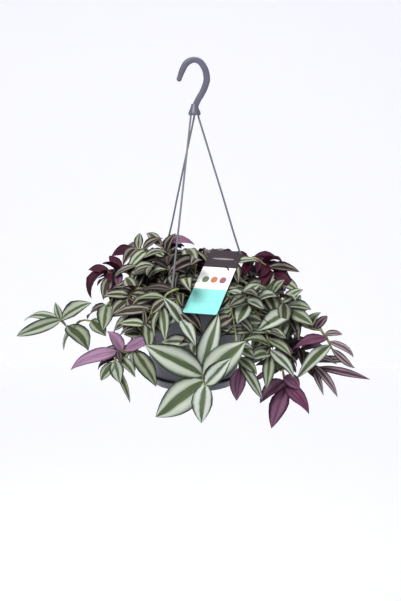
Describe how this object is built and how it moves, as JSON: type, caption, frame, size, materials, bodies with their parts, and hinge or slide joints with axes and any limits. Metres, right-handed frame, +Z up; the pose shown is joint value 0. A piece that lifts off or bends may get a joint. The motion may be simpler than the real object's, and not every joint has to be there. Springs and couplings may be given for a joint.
{
  "type": "hanging potted plant",
  "caption": "Trailing striped tradescantia in a tapered hanging pot with clip-on saucer, hook hanger with thin strands and a care label.",
  "frame": {"origin": "highest point of the hook's inner bend, where the pot hangs from a rail or line", "axes": "+Z up, opposite to the pull of the hanging weight; +X to the right and +Y away as seen from the side that shows the hook's profile and the care label"},
  "size_m": [0.5228, 0.3682, 0.5235],
  "materials": {
    "hanger": "satin",
    "pot": "satin",
    "soil": "matte",
    "label": "satin",
    "striped_leaf": "satin",
    "purple_leaf": "satin"
  },
  "bodies": {
    "root": {"care_label": "label", "drip_saucer": "pot", "hanger_hook": "hanger", "hanger_strand_back": "hanger", "hanger_strand_front": "hanger", "hanger_strand_right": "hanger", "pot": "pot", "soil": "soil", "stem_01": "striped_leaf", "stem_02": "striped_leaf", "stem_03": "striped_leaf", "stem_05": "striped_leaf", "stem_06": "striped_leaf", "stem_07": "striped_leaf", "stem_08": "striped_leaf", "stem_10": "striped_leaf", "stem_11": "striped_leaf", "stem_12": "striped_leaf", "stem_13": "striped_leaf", "stem_14": "striped_leaf", "stem_15": "striped_leaf", "stem_16": "striped_leaf", "stem_17": "striped_leaf", "stem_19": "striped_leaf", "stem_20": "striped_leaf", "stem_21": "striped_leaf", "stem_22": "striped_leaf", "stem_23": "striped_leaf", "stem_24": "striped_leaf", "stem_front_left": "striped_leaf", "stem_front_rim": "striped_leaf", "stem_front_star": "striped_leaf", "stem_left_dark": "purple_leaf", "stem_left_pale": "striped_leaf", "stem_left_rim": "striped_leaf", "stem_low_left": "striped_leaf", "stem_low_right": "striped_leaf", "stem_mauve_left": "purple_leaf", "stem_right_far": "striped_leaf", "stem_right_hang": "purple_leaf", "stem_right_mid": "striped_leaf", "stem_right_pale": "striped_leaf", "stem_right_rim": "striped_leaf", "stem_right_ring": "striped_leaf", "stem_right_top": "purple_leaf", "stem_top_arch": "striped_leaf", "stem_top_left": "striped_leaf"}
  },
  "joints": []
}
